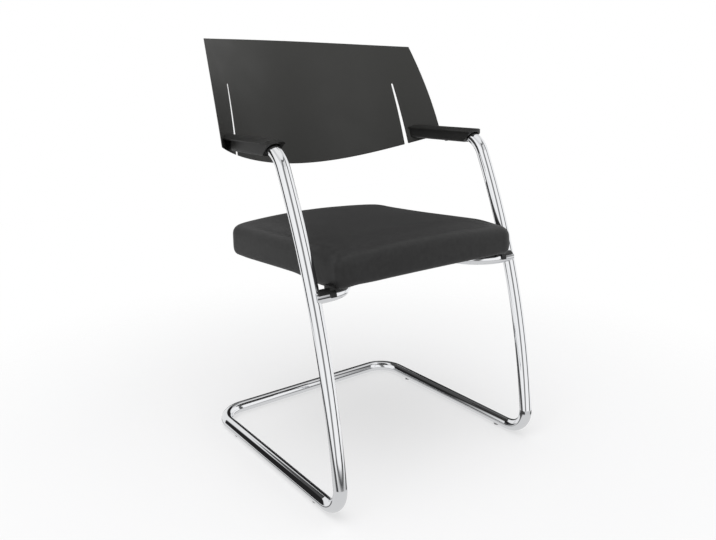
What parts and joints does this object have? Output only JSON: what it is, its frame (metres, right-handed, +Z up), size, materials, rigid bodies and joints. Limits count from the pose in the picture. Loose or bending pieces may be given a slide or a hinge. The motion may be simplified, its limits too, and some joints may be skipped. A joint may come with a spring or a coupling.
{
  "type": "cantilever chair",
  "caption": "Cantilever visitor chair: bent chromed tube frame with short armrests, padded black seat and a thin curved black plastic back with two slits.",
  "frame": {"origin": "middle of the chair's footprint on the floor", "axes": "+X to the right of someone who sits in it, +Y towards the back, +Z up"},
  "size_m": [0.557, 0.5368, 0.8344],
  "materials": {
    "chrome": "polished",
    "shell_plastic": "fine grained satin, black",
    "arm_plastic": "satin, black",
    "upholstery": "close woven, black",
    "foam": "open cell foam",
    "plywood": "stained black",
    "black_plastic": "satin, black",
    "glide_plastic": "satin, grey",
    "zinc_steel": "zinc plated",
    "black_steel": "black oxide"
  },
  "bodies": {
    "root": {"main_frame_tube": "chrome", "seat_carrier_tube": "chrome", "back_shell": "shell_plastic", "left_armrest": "arm_plastic", "right_armrest": "arm_plastic", "seat_cover": "upholstery", "seat_foam": "foam", "seat_pan": "plywood", "front_left_saddle": "black_plastic", "front_right_saddle": "black_plastic", "rear_left_saddle": "black_plastic", "rear_right_saddle": "black_plastic", "left_seat_spacer": "black_plastic", "right_seat_spacer": "black_plastic", "seat_screws": "zinc_steel", "seat_washers": "zinc_steel", "seat_tee_nuts": "zinc_steel", "cover_staples": "zinc_steel", "back_shell_screws": "black_steel", "armrest_screws": "black_steel", "left_tube_plug": "black_plastic", "right_tube_plug": "black_plastic", "front_left_glide": "glide_plastic", "front_right_glide": "glide_plastic", "rear_left_glide": "glide_plastic", "rear_right_glide": "glide_plastic"}
  },
  "joints": []
}
